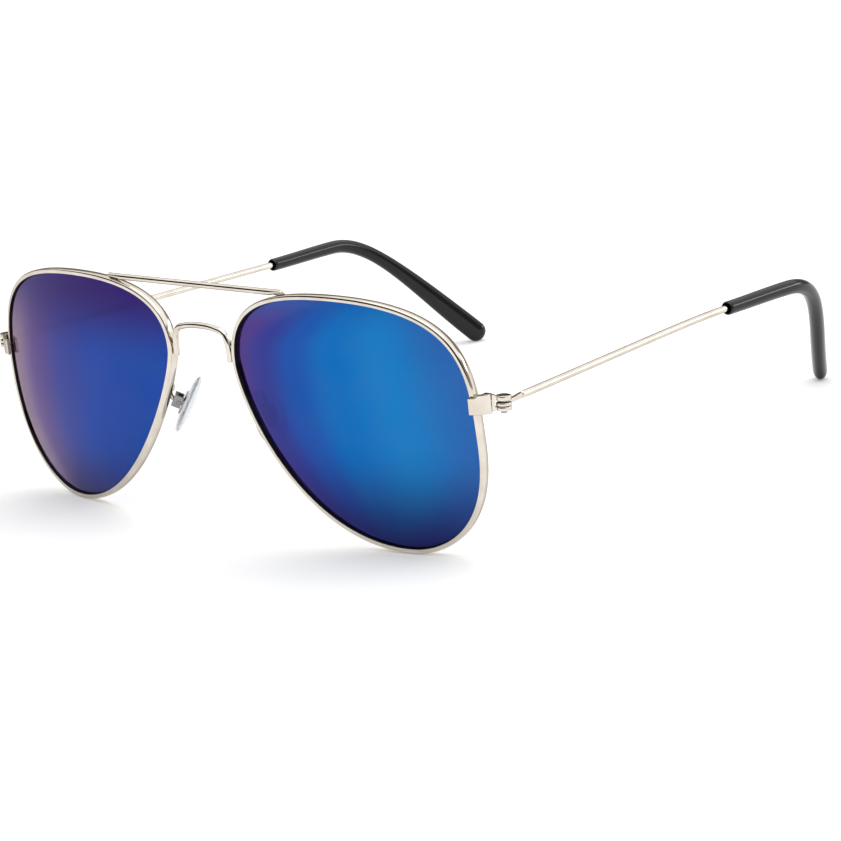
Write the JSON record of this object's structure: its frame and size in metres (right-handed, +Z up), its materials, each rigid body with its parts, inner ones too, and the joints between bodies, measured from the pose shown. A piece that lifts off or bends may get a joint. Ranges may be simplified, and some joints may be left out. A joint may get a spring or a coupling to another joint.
{
  "type": "sunglasses",
  "caption": "Wire-frame aviator sunglasses with mirrored lenses, a brow bar over an arched bridge, rocking nose pads and folding temples with black tips.",
  "frame": {"origin": "on the ground in the middle of the bounding box, with the open glasses standing on the rims' lower edges and both temple tips", "axes": "+Z up, +X towards the wearer's left, -Y towards the front of the lenses, so the temples run back along +Y"},
  "size_m": [0.141, 0.1368, 0.0506],
  "materials": {
    "silver_wire": "polished pale silver plating",
    "steel_fittings": "plain plated steel",
    "blue_mirror_lens": "polished, blue mirror coating",
    "black_tip_plastic": "satin black",
    "clear_silicone": "clear, slightly satin"
  },
  "bodies": {
    "frame": {"rim_left": "silver_wire", "rim_right": "silver_wire", "lens_left": "blue_mirror_lens", "lens_right": "blue_mirror_lens", "end_piece_left": "silver_wire", "end_piece_right": "silver_wire", "closing_block_upper_left": "steel_fittings", "closing_block_upper_right": "steel_fittings", "closing_block_lower_left": "steel_fittings", "closing_block_lower_right": "steel_fittings", "closing_screw_left": "steel_fittings", "closing_screw_right": "steel_fittings", "front_hinge_left": "silver_wire", "front_hinge_right": "silver_wire", "hinge_screw_left": "steel_fittings", "hinge_screw_right": "steel_fittings", "pad_arm_left": "silver_wire", "pad_arm_right": "silver_wire", "pad_box_left": "steel_fittings", "pad_box_right": "steel_fittings", "pad_screw_left": "steel_fittings", "pad_screw_right": "steel_fittings", "bridge": "silver_wire", "brow_bar": "silver_wire"},
    "temple_left": {"temple_hinge_left": "silver_wire", "temple_wire_left": "silver_wire", "temple_tip_left": "black_tip_plastic"},
    "nose_pad_left": {"pad_stem_left": "steel_fittings", "nose_pad_left": "clear_silicone"},
    "temple_right": {"temple_hinge_right": "silver_wire", "temple_wire_right": "silver_wire", "temple_tip_right": "black_tip_plastic"},
    "nose_pad_right": {"pad_stem_right": "steel_fittings", "nose_pad_right": "clear_silicone"}
  },
  "joints": [
    {"name": "temple_left_fold", "type": "hinge", "parent": "frame", "child": "temple_left", "pos_m": [0.069, -0.0587, 0.0309], "axis": [0, 0.0872, 0.9962], "range_deg": [0, 78]},
    {"name": "temple_right_fold", "type": "hinge", "parent": "frame", "child": "temple_right", "pos_m": [-0.069, -0.0587, 0.0309], "axis": [0, -0.0872, -0.9962], "range_deg": [0, 66]},
    {"name": "nose_pad_left_rock", "type": "hinge", "parent": "frame", "child": "nose_pad_left", "pos_m": [0.0127, -0.0636, 0.0243], "axis": [0.6369, 0.759, 0.1353], "range_deg": [-5, 5]},
    {"name": "nose_pad_right_rock", "type": "hinge", "parent": "frame", "child": "nose_pad_right", "pos_m": [-0.0127, -0.0636, 0.0243], "axis": [0.6369, -0.759, -0.1353], "range_deg": [-5, 5]}
  ]
}
